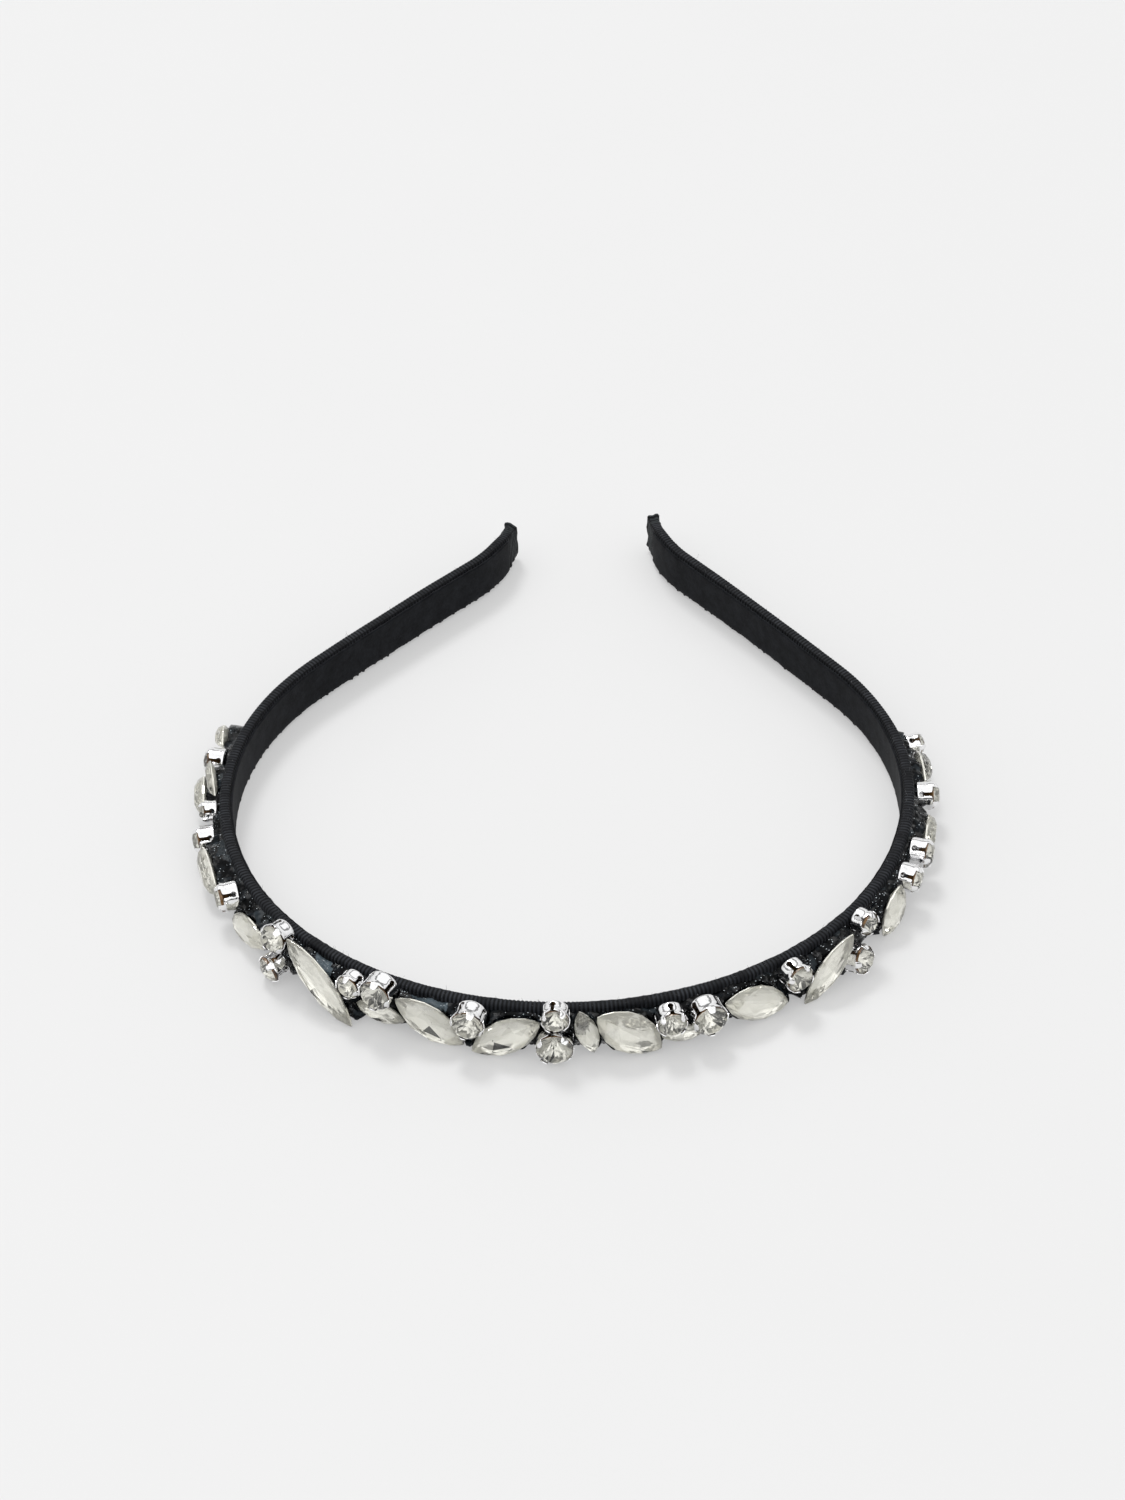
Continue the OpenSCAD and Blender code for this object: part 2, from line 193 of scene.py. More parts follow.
def paintGlue(point, look):
    lumps = point.noise(look["lumpNoise"], 2.0)
    fine = point.noise(look["fineNoise"], 3.0, 0.6)
    haze = lumps.span(0.5, 0.68)
    upward = point.add("ShaderNodeNewGeometry", output="Normal").axes()[2]
    # pale painted glints: small round specks, in some areas only
    streaks = point.stretched((1.0, 1.0, 2.4))
    paintedGlint = (look["glintSize"] - streaks.cells(look["glintCells"]) > 0.0) \
        * (streaks.cells(look["glintCells"], "Color") > look["glintShare"]) \
        * (point.noise(0.35, 1.0) > look["glintArea"])
    # painted reflection: the colour is lighter where the dried skin faces up, and most on the
    # patches
    paintedSheen = point.noise(0.33, 1.0).span(0.60, 0.64) * upward.span(0.15, 0.45) \
        * look["paintedSheenElsewhere"]
    for middle, reach in look["patches"]:
        share = tuple(1 / size for size in reach)
        gone = point.add("ShaderNodeVectorMath", {"operation": "DISTANCE"}, {
            0: point.stretched(share), 1: tuple(a * b for a, b in zip(middle, share))}, 1)
        patch = (gone + point.noise(0.9, 2.0) * 0.8).span(*look["patchEdge"])
        paintedSheen = point.calc("MAXIMUM", paintedSheen, patch)
    colour = haze.mix(look["black"], look["haze"])
    colour = (paintedSheen * look["patchShow"]).mix(colour, look["paintedSheen"])
    relief = lumps * 1.4 + fine * 0.22 + point.cells(1.1) * 0.3
    return {"Base Color": paintedGlint.mix(colour, look["paintedGlint"]),
            "Roughness": 0.04 + haze * 0.16 + fine * 0.04,
            "Coat Weight": point.noise(0.8, 1.0).span(0.55, 0.66, *look["coat"]),
            "Normal": relief.bump(1.0, look["lumpDepth"])}


glassLook = {
    "tint": rgb(1.0, 1.0, 0.975), "smudge": rgb(0.965, 0.97, 0.93),
    "shade": rgb(0.045, 0.045, 0.043),
    "sockets": {"Roughness": 0.0, "IOR": 1.56, "Transmission Weight": 1.0}}


def paintGlass(point, look):
    colour = point.noise(0.5, 2.0).span(0.45, 0.75).mix(look["tint"], look["smudge"])
    # painted shade: facets marked dark take the shade colour, as dark reflections
    return {"Base Color": point.mark("paintedFacetShade").mix(look["shade"], colour)}


# dark is the colour of foil facets painted nearly black as dark reflections
foilLook = {
    "silver": rgb(1.0, 0.988, 0.925), "dark": rgb(0.11, 0.11, 0.105),
    "aged": rgb(0.96, 0.945, 0.87), "mottling": 56.0,
    "sockets": {"Metallic": 0.56, "Roughness": 0.03}}


def paintFoil(point, look):
    # painted reflections: each foil facet's marked brightness mixes the dark colour into the
    # silver
    paintedFacetShade = point.mark("paintedFacetShade")
    colour = point.noise(0.45, 3.0).span(0.45, 0.8).mix(look["silver"], look["aged"])
    # painted brightnesses between dark and bright break up into fine mottling
    middle = paintedFacetShade * (1 - paintedFacetShade)
    mottling = (point.noise(1.5, 6.0, 0.75) - 0.5) * middle * middle * look["mottling"]
    return {"Base Color": (paintedFacetShade + mottling).span(0.0, 1.0).mix(look["dark"], colour)}


lacquerLook = {
    "amber": rgb(0.155, 0.075, 0.018), "brown": rgb(0.040, 0.020, 0.009), "depth": 0.06,
    "sockets": {"Roughness": 0.32, "Metallic": 0.25, "Coat Weight": 0.5, "Coat Roughness": 0.1}}


def paintLacquer(point, look):
    patches = point.noise(0.9, 3.0).span(0.38, 0.62)
    return {"Base Color": patches.mix(look["amber"], look["brown"]),
            "Normal": point.noise(3.0).bump(0.4, look["depth"])}


chromeLook = {
    "bright": rgb(0.86, 0.86, 0.865), "tarnish": rgb(0.42, 0.41, 0.40), "tarnishShow": 0.7,
    "roughness": 0.05, "tarnishRoughness": 0.25, "dentDepth": 0.10, "sockets": {"Metallic": 1.0}}


def paintChrome(point, look):
    tarnish = point.noise(0.7, 4.0, 0.6).span(0.58, 0.8)
    colour = (tarnish * look["tarnishShow"]).mix(look["bright"], look["tarnish"])
    return {"Base Color": colour,
            "Roughness": look["roughness"] + tarnish * look["tarnishRoughness"],
            "Normal": point.noise(1.1, 2.0).bump(0.35, look["dentDepth"])}


threadLook = {
    "black": rgb(0.010, 0.0105, 0.012), "grey": rgb(0.06, 0.06, 0.065),
    "sockets": {"Roughness": 0.7, "Sheen Weight": 0.3}}


def paintThread(point, look):
    patches = point.noise(0.8).span(0.4, 0.7)
    return {"Base Color": patches.mix(look["black"], look["grey"])}


ribbonMaterial = newMaterial("grosgrainRibbon", ribbonLook, paintRibbon)
liningMaterial = newMaterial("suedeLining", liningLook, paintLining)
glueMaterial = newMaterial("driedGlue", glueLook, paintGlue)
glassMaterial = newMaterial("cutGlass", glassLook, paintGlass)
foilMaterial = newMaterial("mirrorFoil", foilLook, paintFoil)
lacquerMaterial = newMaterial("foilLacquer", lacquerLook, paintLacquer)
chromeMaterial = newMaterial("chromePlate", chromeLook, paintChrome)
threadMaterial = newMaterial("looseThread", threadLook, paintThread)
print("stage: materials made")


# each half runs from the front's middle to its tip in arcs of a radius and a turn in degrees
bandShape = {
    "leftArcs": [(68.4, 40.0), (57.4, 90.0), (900.0, 2.7), (28.0, -33.0)],
    "rightArcs": [(68.4, 40.0), (57.4, 90.0), (900.0, 3.0), (28.0, -33.0)],
    "planShift": (0.61, -69.72), "width": 9.5, "thickness": 2.1, "corner": 0.7,
    "tipLength": 9.0, "tipShare": 0.76, "tipRound": 1.0, "tipBlunt": 0.72}

leftArcs, rightArcs = bandShape["leftArcs"], bandShape["rightArcs"]
halfTall, halfThick = bandShape["width"] / 2, bandShape["thickness"] / 2
leftLength, rightLength = (sum(radius * radians(abs(turn)) for radius, turn in arcs)
                           for arcs in (leftArcs, rightArcs))


def halfAt(arcs, run):
    # points and headings of one half of the band's middle line
    x, y, heading, done = (np.zeros_like(run) for _ in range(4))
    for index, (radius, turn) in enumerate(arcs):
        length = radius * radians(abs(turn))
        side = copysign(1.0, turn)
        here = np.clip(run - done, 0, None if index == len(arcs) - 1 else length)
        after = heading + side * here / radius
        x += radius * side * (np.sin(after) - np.sin(heading))
        y += radius * side * (np.cos(heading) - np.cos(after))
        heading = after
        done += length
    return np.stack([x, y, heading])


def bandAt(places):
    # the same for places along the whole band, which are below zero on the left
    places = np.asarray(places, float)
    onLeft, run = places < 0, np.abs(places)
    x, y, heading = np.where(onLeft, halfAt(leftArcs, run), halfAt(rightArcs, run))
    mirror = np.where(onLeft, -1.0, 1.0)
    return x * mirror, y, heading * mirror


def toTip(places):
    return np.where(places < 0, leftLength + places, rightLength - places)


def bandPoints(places, out, up):
    x, y, heading = bandAt(places)
    return np.stack([x + out * np.sin(heading) + bandShape["planShift"][0],
                     y - out * np.cos(heading) + bandShape["planShift"][1],
                     up + np.zeros_like(x)], -1)


# close samples of the middle line, on which the nearest one to a point is found
lineSamples = np.linspace(-leftLength, rightLength, 6001)
lineX, lineY, _ = bandPoints(lineSamples, 0, 0).T
lineHeading = bandAt(lineSamples)[2]


def onBand(points):
    # place along the band, distance out from its middle, and height of each point
    found = np.argmin((points[:, None, 0] - lineX) ** 2 + (points[:, None, 1] - lineY) ** 2, 1)
    out = ((points[:, 0] - lineX[found]) * np.sin(lineHeading[found])
           - (points[:, 1] - lineY[found]) * np.cos(lineHeading[found]))
    return np.stack([lineSamples[found], out, points[:, 2]], -1)


def wobble(first, second, size, seed):
    # smooth uneven waves, mostly from -1 to 1, over two coordinates in millimetres
    draw = random.Random(seed)
    waves, peak = 7, 1.4
    total = np.zeros(np.broadcast(first, second).shape)
    for _ in range(waves):
        angle = draw.uniform(0, 2 * pi)
        pitch = size * draw.uniform(0.6, 1.8)
        phase = draw.uniform(0, 2 * pi)
        gone = first * cos(angle) + second * sin(angle)
        total = total + np.sin(2 * pi * gone / pitch + phase)
    return total / waves ** 0.5 / peak


def smooth(value):
    value = np.clip(value, 0, 1)
    return value * value * (3 - 2 * value)


def rounded(gap, reach):
    # rises along a quarter circle from 0 at an edge to 1 at the reach
    return np.sqrt(np.clip(1 - (1 - np.clip(gap / reach, 0, 1)) ** 2, 0, 1))


def widthShare(places):
    return 1 - (1 - bandShape["tipShare"]) * smooth(1 - toTip(places) / bandShape["tipLength"])


def newObject(name, data):
    made = bpy.data.objects.new(name, data)
    bpy.context.scene.collection.objects.link(made)
    return made


def meshObject(name, points, faces, material, smoothShade=True):
    mesh = bpy.data.meshes.new(name)
    mesh.from_pydata((np.asarray(points) * mm).tolist(), [], faces)
    mesh.materials.append(material)
    if smoothShade:
        mesh.shade_smooth()
    mesh.update()
    return newObject(name, mesh)


def gridFaces(rows, columns, closedRound=False, caps=False):
    start = np.arange(rows - 1)[:, None] * columns
    step = np.arange(columns if closedRound else columns - 1)[None, :]
    following = (step + 1) % columns
    quads = np.stack([start + step, start + following, start + columns + following,
                      start + columns + step], -1).reshape(-1, 4).tolist()
    if caps:
        quads.append(list(range(columns - 1, -1, -1)))
        quads.append([(rows - 1) * columns + index for index in range(columns)])
    return quads


# steps holds the rings of one rib, as a share of its pitch and a height, and capSteps those
# that round off each tip; waves are lengths in millimetres of what they are named for
bandCover = {
    "ribPitch": 0.76, "ribDepth": 0.14,
    "steps": [(0.0, -1.0), (0.2, 0.0), (0.5, 0.25), (0.8, 0.0)],
    "capSteps": [0.35, 0.7, 0.92, 1.0], "tipCap": 0.28, "tipFull": 0.22, "tipLumps": 0.15,
    "tipLumpWave": 2.6, "tipLumpReach": 6.5, "edgeWander": 0.06, "edgeWave": 14, "fray": 0.28,
    "frayWave": 1.9, "foldReach": 4.6, "foldThick": 0.12, "foldPeaks": 0.36, "foldSlope": 0.75,
    "foldColour": 4.2}


def roundedSection():
    # outline of the plain band as (out, up) with its outward normals
    cornerSteps, flatSteps, corner = 3, (5, 2, 5, 2), bandShape["corner"]
    corners = []
    for sideOut, sideUp, start in ((1, -1, -90), (1, 1, 0), (-1, 1, 90), (-1, -1, 180)):
        angles = [radians(start + 90 * step / cornerSteps) for step in range(cornerSteps + 1)]
        corners.append([(sideOut * (halfThick - corner) + corner * cos(angle),
                         sideUp * (halfTall - corner) + corner * sin(angle),
                         cos(angle), sin(angle)) for angle in angles])
    outline = []
    for number, between in enumerate(flatSteps):
        outline += corners[number]
        here, ahead = outline[-1], corners[(number + 1) % 4][0]
        for step in range(1, between + 1):
            share = step / (between + 1)
            outline.append((here[0] + (ahead[0] - here[0]) * share,
                            here[1] + (ahead[1] - here[1]) * share, here[2], here[3]))
    return np.array(outline)


def bandRings():
    # place of each ring along the band, its count in ribs and its height in the weave
    ribs = round((leftLength + rightLength) / bandCover["ribPitch"])
    pitch = (leftLength + rightLength) / ribs
    steps = bandCover["steps"]
    turns = np.array([rib + step for rib in range(ribs) for step, _ in steps] + [ribs])
    relief = np.array([height for _ in range(ribs) for _, height in steps] + [-1.0])
    places = turns * pitch - leftLength
    cap = np.array(bandCover["capSteps"]) * bandCover["tipCap"]
    places = np.concatenate([places[0] - cap[::-1], places, places[-1] + cap])
    turns = np.concatenate([turns[0] - cap[::-1], turns, turns[-1] + cap])
    relief = np.concatenate([[0.0] * len(cap), relief, [0.0] * len(cap)])
    return places, turns, relief


def ribbonLift(run, up, sideOut, sideUp, relief):
    # how far the ribbon stands off the plain band: its ribs, slow waves, lumps and fray
    cover = bandCover
    nearTip = smooth(1 - toTip(run) / cover["tipLumpReach"])
    lift = cover["ribDepth"] * relief[:, None] * (1 + 0.3 * wobble(run, up, 9, seed=5)) \
        * (1 - 0.6 * nearTip)
    lift = lift + cover["edgeWander"] * wobble(run, up, cover["edgeWave"], seed=6)
    lumps = wobble(run, up * 1.5, cover["tipLumpWave"], seed=7) \
        + 0.6 * wobble(run, up, 1.2, seed=8)
    lift = lift + cover["tipLumps"] * nearTip * lumps
    innerLow = (sideOut < 0) & (sideUp < 1 - halfTall)
    fray = cover["fray"] * np.maximum(wobble(run, up * 0, cover["frayWave"], seed=9), 0)
    lift = lift + np.where(innerLow, fray, 0)
    # nothing stands off the side that lies on the floor
    return np.where(sideUp < 0.1 - halfTall, np.minimum(lift, 0), lift)


def makeBand():
    cover = bandCover
    places, turns, relief = bandRings()
    beyond = np.clip(-toTip(places), 0, None) / cover["tipCap"]
    capClose = np.sqrt(np.clip(1 - beyond ** 2, 0.04, 1))
    outline = roundedSection()
    sideOut, sideUp, normalOut, normalUp = outline.T
    run = np.broadcast_to(places[:, None], (len(places), len(outline)))
    # the ribbon is folded over at each tip, so it ends blunt and thicker, with two peaks on top
    blunt = bandShape["tipBlunt"]
    blunt = blunt + (1 - blunt) * rounded(toTip(places), bandShape["tipRound"])
    blunt = (blunt + cover["tipFull"] * smooth(1 - toTip(places) / 1.2)) \
        * (0.35 + 0.65 * capClose)
    folded = smooth(1 - toTip(places) / cover["foldReach"])[:, None]
    out = sideOut * blunt[:, None] * (1 + cover["foldThick"] * folded)
    up = sideUp * (widthShare(places) * (0.85 * blunt + 0.15))[:, None]
    peaks = (sideUp > 0) * (np.cos(sideOut * 4.2 - 2.6) * 0.5 + 0.5) \
        * (0.75 + 0.25 * np.sign(sideOut))
    up = up + cover["foldPeaks"] * folded ** 2 * peaks * capClose[:, None]
    # the left one slopes down towards its inner side
    slope = (run < 0) * (sideUp > 0) * smooth((0.3 - sideOut) / 1.2)
    up = up - cover["foldSlope"] * folded ** 2 * slope
    lift = ribbonLift(run, up, sideOut, sideUp, relief)
    out = out + lift * normalOut
    up = up + lift * normalUp
    points = bandPoints(run, out, np.maximum(halfTall + up, 0.0))
    girth = np.cumsum(np.hypot(np.diff(sideOut, prepend=sideOut[0]),
                               np.diff(sideUp, prepend=sideUp[0])))
    uv = np.stack(np.broadcast_arrays(turns[:, None], girth), -1).reshape(-1, 2)
    fold = smooth((cover["foldColour"] - toTip(run) + 0.6 * wobble(run, up, 3.0, seed=10)) / 0.8)
    piece = meshObject("ribbonBand", points.reshape(-1, 3),
                       gridFaces(len(places), len(outline), True, True), ribbonMaterial)
    corners = np.zeros(len(piece.data.loops), np.int32)
    piece.data.loops.foreach_get("vertex_index", corners)
    layer = piece.data.uv_layers.new(name="ribRun")
    layer.data.foreach_set("uv", uv[corners].astype(np.float32).ravel())
    mark = piece.data.attributes.new("fold", "FLOAT", "POINT")
    mark.data.foreach_set("value", fold.astype(np.float32).ravel())
    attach(piece, "root")
    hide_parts("band")


makeBand()
print("stage: band made")


# shares and depth hold the strip's section: shares of its half width, and of its thickness
liningShape = {
    "thickness": 0.35, "margin": 0.75, "stop": 5.0, "gap": 0.05, "rings": 700,
    "shares": [-1, -1, -0.97, -0.8, -0.5, -0.2, 0.1, 0.4, 0.7, 0.9, 0.98, 1, 1],
    "depth": [0, 0.6, 1, 1, 1, 1, 1, 1, 1, 1, 1, 0.6, 0], "edgeWander": 0.10, "edgeWave": 11,
    "fray": 0.12, "frayWave": 1.8, "nap": 0.03, "napWave": 3}


def makeLiningStrip():
    shape = liningShape
    stop = shape["stop"]
    places = np.linspace(stop - leftLength, rightLength - stop, shape["rings"])
    half = halfTall * widthShare(places) - shape["margin"]
    shares, depth = np.array(shape["shares"]), np.array(shape["depth"])
    run = np.broadcast_to(places[:, None], (len(places), len(shares)))
    edges = np.sign(shares) * 40
    wander = shape["edgeWander"] * wobble(run, edges, shape["edgeWave"], seed=21) \
        + shape["fray"] * np.maximum(wobble(run, edges, shape["frayWave"], seed=23), -0.2)
    up = shares * (half[:, None] + wander * (np.abs(shares) > 0.9))
    ends = np.sqrt(np.clip((toTip(run) - stop) / 0.4, 0.2, 1))
    face = -halfThick - shape["gap"]
    nap = shape["nap"] * wobble(run, up, shape["napWave"], seed=22) * (depth > 0.5)
    out = face - depth * shape["thickness"] * ends + nap
    points = bandPoints(run, out, halfTall + up)
    piece = meshObject("suedeLining", points.reshape(-1, 3),
                       gridFaces(len(places), len(shares), True, True), liningMaterial)
    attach(piece, "root")
    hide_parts("lining")


makeLiningStrip()
print("stage: lining made")


def stoneFrame(name):
    # centre, outward axis, long axis and the reach of a stone's solid, in millimetres
    mesh = cadNodes[name].data
    points = np.array([vertex.co for vertex in mesh.vertices]) / mm
    sides = {}
    for face in mesh.polygons:
        sides.setdefault(tuple(round(value, 2) for value in face.normal), []).append(face)
    # the widest flat side, and its exact normal
    widest = max(sides.values(), key=lambda faces: sum(face.area for face in faces))
    axis = np.array(max(widest, key=lambda face: face.area).normal, float)
    middle = points.mean(0)
    spot = onBand(middle[None])[0]
    heading = np.interp(spot[0], lineSamples, lineHeading)
    if axis @ np.array([sin(heading), -cos(heading), 0]) < 0:
        axis = -axis
    away = points - middle
    flat = away - (away @ axis)[:, None] * axis
    farthest = flat[np.argmax((flat ** 2).sum(1))]
    along = farthest - flat[np.argmax(((flat - farthest) ** 2).sum(1))]
    along /= np.linalg.norm(along)
    if along @ np.array([cos(heading), sin(heading), 0]) < 0:
        along = -along
    across = np.cross(axis, along)
    long, wide = away @ along, away @ across
    centre = middle + along * (long.max() + long.min()) / 2 \
        + across * (wide.max() + wide.min()) / 2
    local = np.stack([(points - centre) @ side for side in (along, across, axis)], -1)
    return {"centre": centre, "along": along, "across": across, "axis": axis, "local": local,
            "length": np.ptp(local[:, 0]), "width": np.ptp(local[:, 1]),
            "low": local[:, 2].min(), "high": local[:, 2].max(), "place": spot[0]}


def ring(count, halfLong, halfWidth, height, pointed=1.0, start=0.0):
    corners = []
    for number in range(count):
        angle = 2 * pi * (number + start) / count
        wide = copysign(abs(sin(angle)) ** pointed, sin(angle))
        corners.append((halfLong * cos(angle), halfWidth * wide, height))
    return corners


def circle(count, radius, height, start=0.0):
    return ring(count, radius, radius, height, start=start)


def hullPart(form, corners, materialIndex, keep=None, edge=0.0, paintedFacetShade=None):
    # adds the convex solid around the corners to the form: keep picks its faces by their
    # normals, edge breaks its sharp edges and the last argument gives each face a painted
    # brightness that stands in for light and dark reflections
    part = bmesh.new()
    for corner in corners:
        part.verts.new(corner)
    bmesh.ops.convex_hull(part, input=part.verts)
    loose = [vertex for vertex in part.verts if not vertex.link_faces]
    bmesh.ops.delete(part, geom=loose, context="VERTS")
    bmesh.ops.dissolve_limit(part, angle_limit=0.01, verts=part.verts, edges=part.edges)
    if edge:
        bmesh.ops.bevel(part, geom=part.edges[:], offset=edge, segments=1, affect="EDGES")
    part.normal_update()
    if keep is not None:
        left = [face for face in part.faces if not keep(face)]
        bmesh.ops.delete(part, geom=left, context="FACES")
    layer = part.faces.layers.float.new("paintedFacetShade")
    part.faces.ensure_lookup_table()
    for face, value in zip(part.faces, paintedFacetShade(part.faces) if paintedFacetShade else [1.0] * len(part.faces)):
        face.material_index = materialIndex
        face[layer] = value
    mesh = bpy.data.meshes.new("part")
    part.to_mesh(mesh)
    part.free()
    form.from_mesh(mesh)
    bpy.data.meshes.remove(mesh)


def openFront(face):
    # foil and lacquer cover the back and the sides of a stone
    return face.normal.z < 0.9


def roundFacetShade(seed):
    # painted brightness of each foil facet of a round stone, for its reflections: mostly bright,
    # some painted nearly black
    draw = random.Random(seed)
    return lambda faces: [1.0 if face.normal.z < -0.97 else draw.choice(roundCut["tones"])
                          for face in faces]


# seenFrom is the side that the front is mostly looked at from, areas are square millimetres
# and the rest are shares of how far a facet faces up or towards that side
facetPick = {
    "seenFrom": Vector((0.0, -0.76, 0.65)), "upwardPaintedShade": 0.06, "toneArea": 0.25, "toneUp": 0.1,
    "darkArea": 0.4, "darkUp": 0.985, "darkSeen": 0.35}


def crownFacetShade(seed, stone, dark, tones):
    # the same for the glass facets: painted shade makes those that face up a little greyer, and
    # dark picks facets to paint nearly black as dark reflections, by how far down they face
    draw = random.Random(seed)
    turned = Matrix([stone["along"], stone["across"], stone["axis"]]).transposed()
    pick = facetPick

    def paintedFacetShade(faces):
        normals = [turned @ face.normal for face in faces]
        values = []
        for face, normal in zip(faces, normals):
            value = draw.choice(tones) - pick["upwardPaintedShade"] * max(normal.z, 0)
            toned = face.calc_area() > pick["toneArea"] and face.normal.z > pick["toneUp"]
            values.append(value if toned else 1.0)
        choice = [index for index, face in enumerate(faces)
                  if face.calc_area() > pick["darkArea"] and face.normal.z < pick["darkUp"]
                  and normals[index] @ pick["seenFrom"] > pick["darkSeen"]]
        choice.sort(key=lambda index: normals[index].z)
        for rank in dark:
            values[choice[rank]] = 0.0
        return values
    return paintedFacetShade


def foilFacetShade(seed, stone, tones, dark, dim):
    # painted brightness of the foil facets of a navette, for their reflections: dark holds spots,
    # as shares of half its length and width, whose nearest facets are painted nearly black, and
    # dim dulls one end of it
    draw = random.Random(seed)

    def paintedFacetShade(faces):
        middles = [face.calc_center_median() for face in faces]
        middles = [(2 * middle.x / stone["length"], 2 * middle.y / stone["width"])
                   for middle in middles]
        values = [draw.uniform(*navetteCut["dimTones"]) if dim * x > navetteCut["dimFrom"]
                  else draw.choice(tones) for x, _ in middles]
        for spot in dark:
            nearest = min(range(len(faces)), key=lambda index: dist(middles[index], spot))
            values[nearest] = 0.0
        return values
    return paintedFacetShade


def placeStone(name, form, stone, materials):
    for vertex in form.verts:
        spot = stone["centre"] + vertex.co.x * stone["along"] + vertex.co.y * stone["across"] \
            + vertex.co.z * stone["axis"]
        vertex.co = Vector(spot * mm)
    mesh = bpy.data.meshes.new(name)
    form.to_mesh(mesh)
    form.free()
    for material in materials:
        mesh.materials.append(material)
    piece = newObject(name, mesh)
    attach(piece, "root")
    return piece


# sizes are shares of the radius, apart from edges and insets in millimetres; browner holds the
# stones that show more than the usual brownEdge of lacquer over the cup
# tones and crownTones are painted facet brightnesses for reflections, and dark ranks the glass
# facets painted nearly black
roundCut = {
    "table": 0.54, "star": 0.80, "starRise": 0.58, "pavilionMid": 0.52, "pavilionDepth": 0.36,
    "culet": 0.06, "culetDepth": 0.92, "bevel": 0.03, "foilInset": 0.03, "foilBack": 0.95,
    "lacquerLift": 0.03, "lacquerBack": 1.06, "brownEdge": 0.2,
    "browner": {1: 0.35, 4: 0.55, 6: 0.5, 14: 0.35, 15: 0.45, 16: 0.45},
    "tones": (1.0, 1.0, 1.0, 1.0, 0.97, 0.93, 0.12, 0.0),
    "crownTones": (1.0, 1.0, 0.96, 0.85, 0.62),
    "dark": {8: [3, 5], 9: [1], 11: [3], 12: [2], 13: [1, 4], 14: [2]}}


def makeRound(number):
    cut = roundCut
    name = f"round_{number:02d}"
    stone = stoneFrame(name)
    radius, top = stone["length"] / 2, stone["high"]
    local = stone["local"]
    girdle = local[np.hypot(local[:, 0], local[:, 1]) > radius * 0.98][:, 2]
    low, high = girdle.min(), girdle.max()
    form = bmesh.new()
    culet = low - 2 * cut["pavilionDepth"] * radius * cut["culetDepth"]
    back = circle(8, cut["pavilionMid"] * radius, low - cut["pavilionDepth"] * radius, 0.5) \
        + circle(8, cut["culet"] * radius, culet)
    glass = circle(8, cut["table"] * radius, top) \
        + circle(8, cut["star"] * radius, high + cut["starRise"] * (top - high), 0.5) \
        + circle(16, radius, high) + circle(16, radius, low) + back
    dark = cut["dark"].get(number, [])
    hullPart(form, glass, 0, edge=cut["bevel"],
             paintedFacetShade=crownFacetShade(number, stone, dark, cut["crownTones"]))
    inset, share = cut["foilInset"], cut["foilBack"]
    foil = circle(16, radius - inset, low + inset) \
        + [(x * share, y * share, z + inset) for x, y, z in back]
    hullPart(form, foil, 1, openFront, paintedFacetShade=roundFacetShade(number))
    lift, share = cut["lacquerLift"], cut["lacquerBack"]
    edge = cut["browner"].get(number, cut["brownEdge"])
    lacquer = circle(32, radius + lift, low + edge) + circle(32, radius + lift, low) \
        + [(x * share, y * share, z - lift) for x, y, z in back]
    hullPart(form, lacquer, 2, openFront)
    piece = placeStone(f"roundStone{number:02d}", form, stone,
                       [glassMaterial, foilMaterial, lacquerMaterial])
    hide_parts(name)
    return stone


# sizes are shares of the half length and half width, or of the height
# tones and crownTones are painted facet brightnesses for reflections, and dark holds spots whose
# foil facets are painted nearly black
navetteCut = {
    "table": (0.50, 0.46), "crownMid": (0.80, 0.80), "crownRise": 0.62, "pointed": 1.6,
    "innerPointed": 1.3, "girdle": (0.3, 0.42), "back": (0.70, 0.62), "keel": 0.10, "bevel": 0.04,
    "foilInset": 0.04, "oddRidge": [(-0.34, 0.0), (0.34, 0.0)],
    "evenRidge": [(-0.30, 0.14), (0.05, -0.12), (0.36, 0.05)],
    "tones": (1.0, 1.0, 1.0, 0.94, 0.86), "crownTones": (1.0, 1.0, 1.0, 0.94, 0.84),
    "dark": {6: [(-0.45, -0.8), (0.2, -0.8)], 7: [(-0.2, -0.8), (0.2, -0.8)], 8: [(0.1, -0.3)],
             9: [(-0.25, -0.35), (-0.6, -0.3)], 11: [(0.75, -0.4)], 12: [(0.5, -0.8)]},
    "dim": {10: -1, 17: 1}, "dimTones": (0.3, 0.75), "dimFrom": 0.05}


